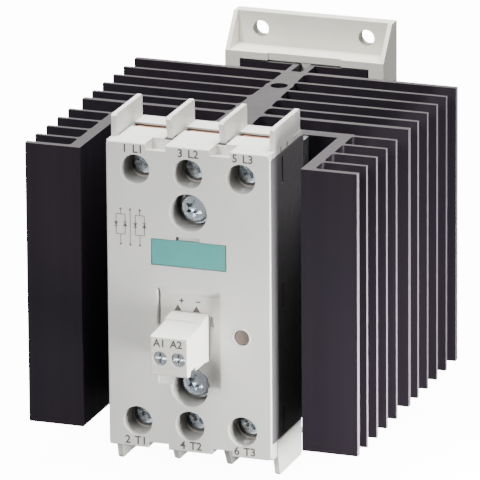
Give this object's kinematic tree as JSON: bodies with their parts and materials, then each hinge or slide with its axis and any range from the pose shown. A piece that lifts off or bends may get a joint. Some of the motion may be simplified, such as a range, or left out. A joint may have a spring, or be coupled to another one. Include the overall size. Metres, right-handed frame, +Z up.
{
  "type": "solid state relay",
  "caption": "Solid state relay with phase barriers and screw terminals, a pull-off control plug, a finned heat sink and a rear adapter for rail or wall.",
  "frame": {"origin": "centre of the wall plane behind the rail adapter, midway between the four wall holes", "axes": "+Y into the wall, +Z up, +X to the right for someone facing the relay"},
  "size_m": [0.091, 0.1184, 0.0994],
  "materials": {
    "black_anodised": "black anodised extrusion, bare sawn ends",
    "light_grey_plastic": "fine moulded texture",
    "anthracite_plastic": "fine moulded texture",
    "warm_grey_plastic": "fine moulded texture",
    "ivory_plastic": "smooth moulded",
    "teal_label": "smooth moulded",
    "smoked_lens": "polished",
    "zinc_steel": "zinc plated",
    "copper": "bare copper",
    "base_metal": "milled",
    "ceramic": "sintered",
    "board_green": "solder resist",
    "black_component": "moulded epoxy",
    "varistor_blue": "dipped epoxy",
    "thermal_grey": "filled silicone",
    "tin_plate": "tinned",
    "spring_steel": "drawn wire"
  },
  "bodies": {
    "relay_frame": {"heat_sink": "black_anodised", "relay_base_plate": "base_metal", "thermal_pad": "thermal_grey", "ceramic_substrate_l1": "ceramic", "ceramic_substrate_l3": "ceramic", "thyristor_pair_l1": "black_component", "thyristor_pair_l3": "black_component", "terminal_bar_l1": "copper", "terminal_bar_l3": "copper", "terminal_bar_t1": "copper", "terminal_bar_t3": "copper", "through_bar_l2": "copper", "base_housing": "anthracite_plastic", "front_cover": "light_grey_plastic", "upper_terminal_shroud": "light_grey_plastic", "lower_terminal_shroud": "light_grey_plastic", "label_plate": "teal_label", "lamp_lens": "smoked_lens", "status_led": "smoked_lens", "control_board": "board_green", "control_header": "black_component", "header_pins": "tin_plate", "optocouplers": "black_component", "input_capacitor": "black_component", "surge_varistors": "varistor_blue", "mounting_screws": "zinc_steel", "mounting_washers": "zinc_steel", "rail_adapter": "warm_grey_plastic", "adapter_screws": "zinc_steel", "latch_spring": "spring_steel"},
    "control_plug": {"plug_housing": "ivory_plastic", "plug_contacts": "tin_plate"},
    "terminal_screw_l1": {"terminal_screw_l1": "zinc_steel"},
    "terminal_clamp_l1": {"terminal_clamp_l1": "zinc_steel"},
    "terminal_screw_l2": {"terminal_screw_l2": "zinc_steel"},
    "terminal_clamp_l2": {"terminal_clamp_l2": "zinc_steel"},
    "terminal_screw_l3": {"terminal_screw_l3": "zinc_steel"},
    "terminal_clamp_l3": {"terminal_clamp_l3": "zinc_steel"},
    "terminal_screw_t1": {"terminal_screw_t1": "zinc_steel"},
    "terminal_clamp_t1": {"terminal_clamp_t1": "zinc_steel"},
    "terminal_screw_t2": {"terminal_screw_t2": "zinc_steel"},
    "terminal_clamp_t2": {"terminal_clamp_t2": "zinc_steel"},
    "terminal_screw_t3": {"terminal_screw_t3": "zinc_steel"},
    "terminal_clamp_t3": {"terminal_clamp_t3": "zinc_steel"},
    "plug_screw_a1": {"plug_screw_a1": "zinc_steel"},
    "plug_clamp_a1": {"plug_clamp_a1": "zinc_steel"},
    "plug_screw_a2": {"plug_screw_a2": "zinc_steel"},
    "plug_clamp_a2": {"plug_clamp_a2": "zinc_steel"},
    "rail_latch": {"rail_latch": "anthracite_plastic"}
  },
  "joints": [
    {"name": "control_plug_pull", "type": "slide", "parent": "relay_frame", "child": "control_plug", "axis": [0, -1, 0], "range_m": [0, 0.012]},
    {"name": "terminal_screw_l1_spin", "type": "hinge", "parent": "relay_frame", "child": "terminal_screw_l1", "pos_m": [-0.0145, -0.094, 0.0343], "axis": [0, 1, 0], "range_deg": [0, 1080.2]},
    {"name": "terminal_clamp_l1_slide", "type": "slide", "parent": "relay_frame", "child": "terminal_clamp_l1", "axis": [0, -1, 0], "range_m": [0, 0.0021]},
    {"name": "terminal_screw_l2_spin", "type": "hinge", "parent": "relay_frame", "child": "terminal_screw_l2", "pos_m": [0, -0.094, 0.0343], "axis": [0, 1, 0], "range_deg": [0, 1080.2]},
    {"name": "terminal_clamp_l2_slide", "type": "slide", "parent": "relay_frame", "child": "terminal_clamp_l2", "axis": [0, -1, 0], "range_m": [0, 0.0021]},
    {"name": "terminal_screw_l3_spin", "type": "hinge", "parent": "relay_frame", "child": "terminal_screw_l3", "pos_m": [0.0145, -0.094, 0.0343], "axis": [0, 1, 0], "range_deg": [0, 1080.2]},
    {"name": "terminal_clamp_l3_slide", "type": "slide", "parent": "relay_frame", "child": "terminal_clamp_l3", "axis": [0, -1, 0], "range_m": [0, 0.0021]},
    {"name": "terminal_screw_t1_spin", "type": "hinge", "parent": "relay_frame", "child": "terminal_screw_t1", "pos_m": [-0.0145, -0.094, -0.0343], "axis": [0, 1, 0], "range_deg": [0, 1080.2]},
    {"name": "terminal_clamp_t1_slide", "type": "slide", "parent": "relay_frame", "child": "terminal_clamp_t1", "axis": [0, -1, 0], "range_m": [0, 0.0021]},
    {"name": "terminal_screw_t2_spin", "type": "hinge", "parent": "relay_frame", "child": "terminal_screw_t2", "pos_m": [0, -0.094, -0.0343], "axis": [0, 1, 0], "range_deg": [0, 1080.2]},
    {"name": "terminal_clamp_t2_slide", "type": "slide", "parent": "relay_frame", "child": "terminal_clamp_t2", "axis": [0, -1, 0], "range_m": [0, 0.0021]},
    {"name": "terminal_screw_t3_spin", "type": "hinge", "parent": "relay_frame", "child": "terminal_screw_t3", "pos_m": [0.0145, -0.094, -0.0343], "axis": [0, 1, 0], "range_deg": [0, 1080.2]},
    {"name": "terminal_clamp_t3_slide", "type": "slide", "parent": "relay_frame", "child": "terminal_clamp_t3", "axis": [0, -1, 0], "range_m": [0, 0.0021]},
    {"name": "plug_screw_a1_spin", "type": "hinge", "parent": "control_plug", "child": "plug_screw_a1", "pos_m": [-0.0025, -0.1165, -0.0111], "axis": [0, 1, 0], "range_deg": [0, 720.2]},
    {"name": "plug_clamp_a1_slide", "type": "slide", "parent": "control_plug", "child": "plug_clamp_a1", "axis": [0, -1, 0], "range_m": [0, 0.001]},
    {"name": "plug_screw_a2_spin", "type": "hinge", "parent": "control_plug", "child": "plug_screw_a2", "pos_m": [0.0025, -0.1165, -0.0111], "axis": [0, 1, 0], "range_deg": [0, 720.2]},
    {"name": "plug_clamp_a2_slide", "type": "slide", "parent": "control_plug", "child": "plug_clamp_a2", "axis": [0, -1, 0], "range_m": [0, 0.001]},
    {"name": "rail_latch_slide", "type": "slide", "parent": "relay_frame", "child": "rail_latch", "axis": [0, 0, -1], "range_m": [0, 0.004], "stiffness_N_per_m": 800, "springref_m": -0.004, "deforming": ["latch_spring"]}
  ],
  "couplings": [
    {"joint": "terminal_screw_l1_spin", "follows": "terminal_clamp_l1_slide", "rad_per_m": 8976},
    {"joint": "terminal_screw_l2_spin", "follows": "terminal_clamp_l2_slide", "rad_per_m": 8976},
    {"joint": "terminal_screw_l3_spin", "follows": "terminal_clamp_l3_slide", "rad_per_m": 8976},
    {"joint": "terminal_screw_t1_spin", "follows": "terminal_clamp_t1_slide", "rad_per_m": 8976},
    {"joint": "terminal_screw_t2_spin", "follows": "terminal_clamp_t2_slide", "rad_per_m": 8976},
    {"joint": "terminal_screw_t3_spin", "follows": "terminal_clamp_t3_slide", "rad_per_m": 8976},
    {"joint": "plug_screw_a1_spin", "follows": "plug_clamp_a1_slide", "rad_per_m": 12566},
    {"joint": "plug_screw_a2_spin", "follows": "plug_clamp_a2_slide", "rad_per_m": 12566}
  ]
}
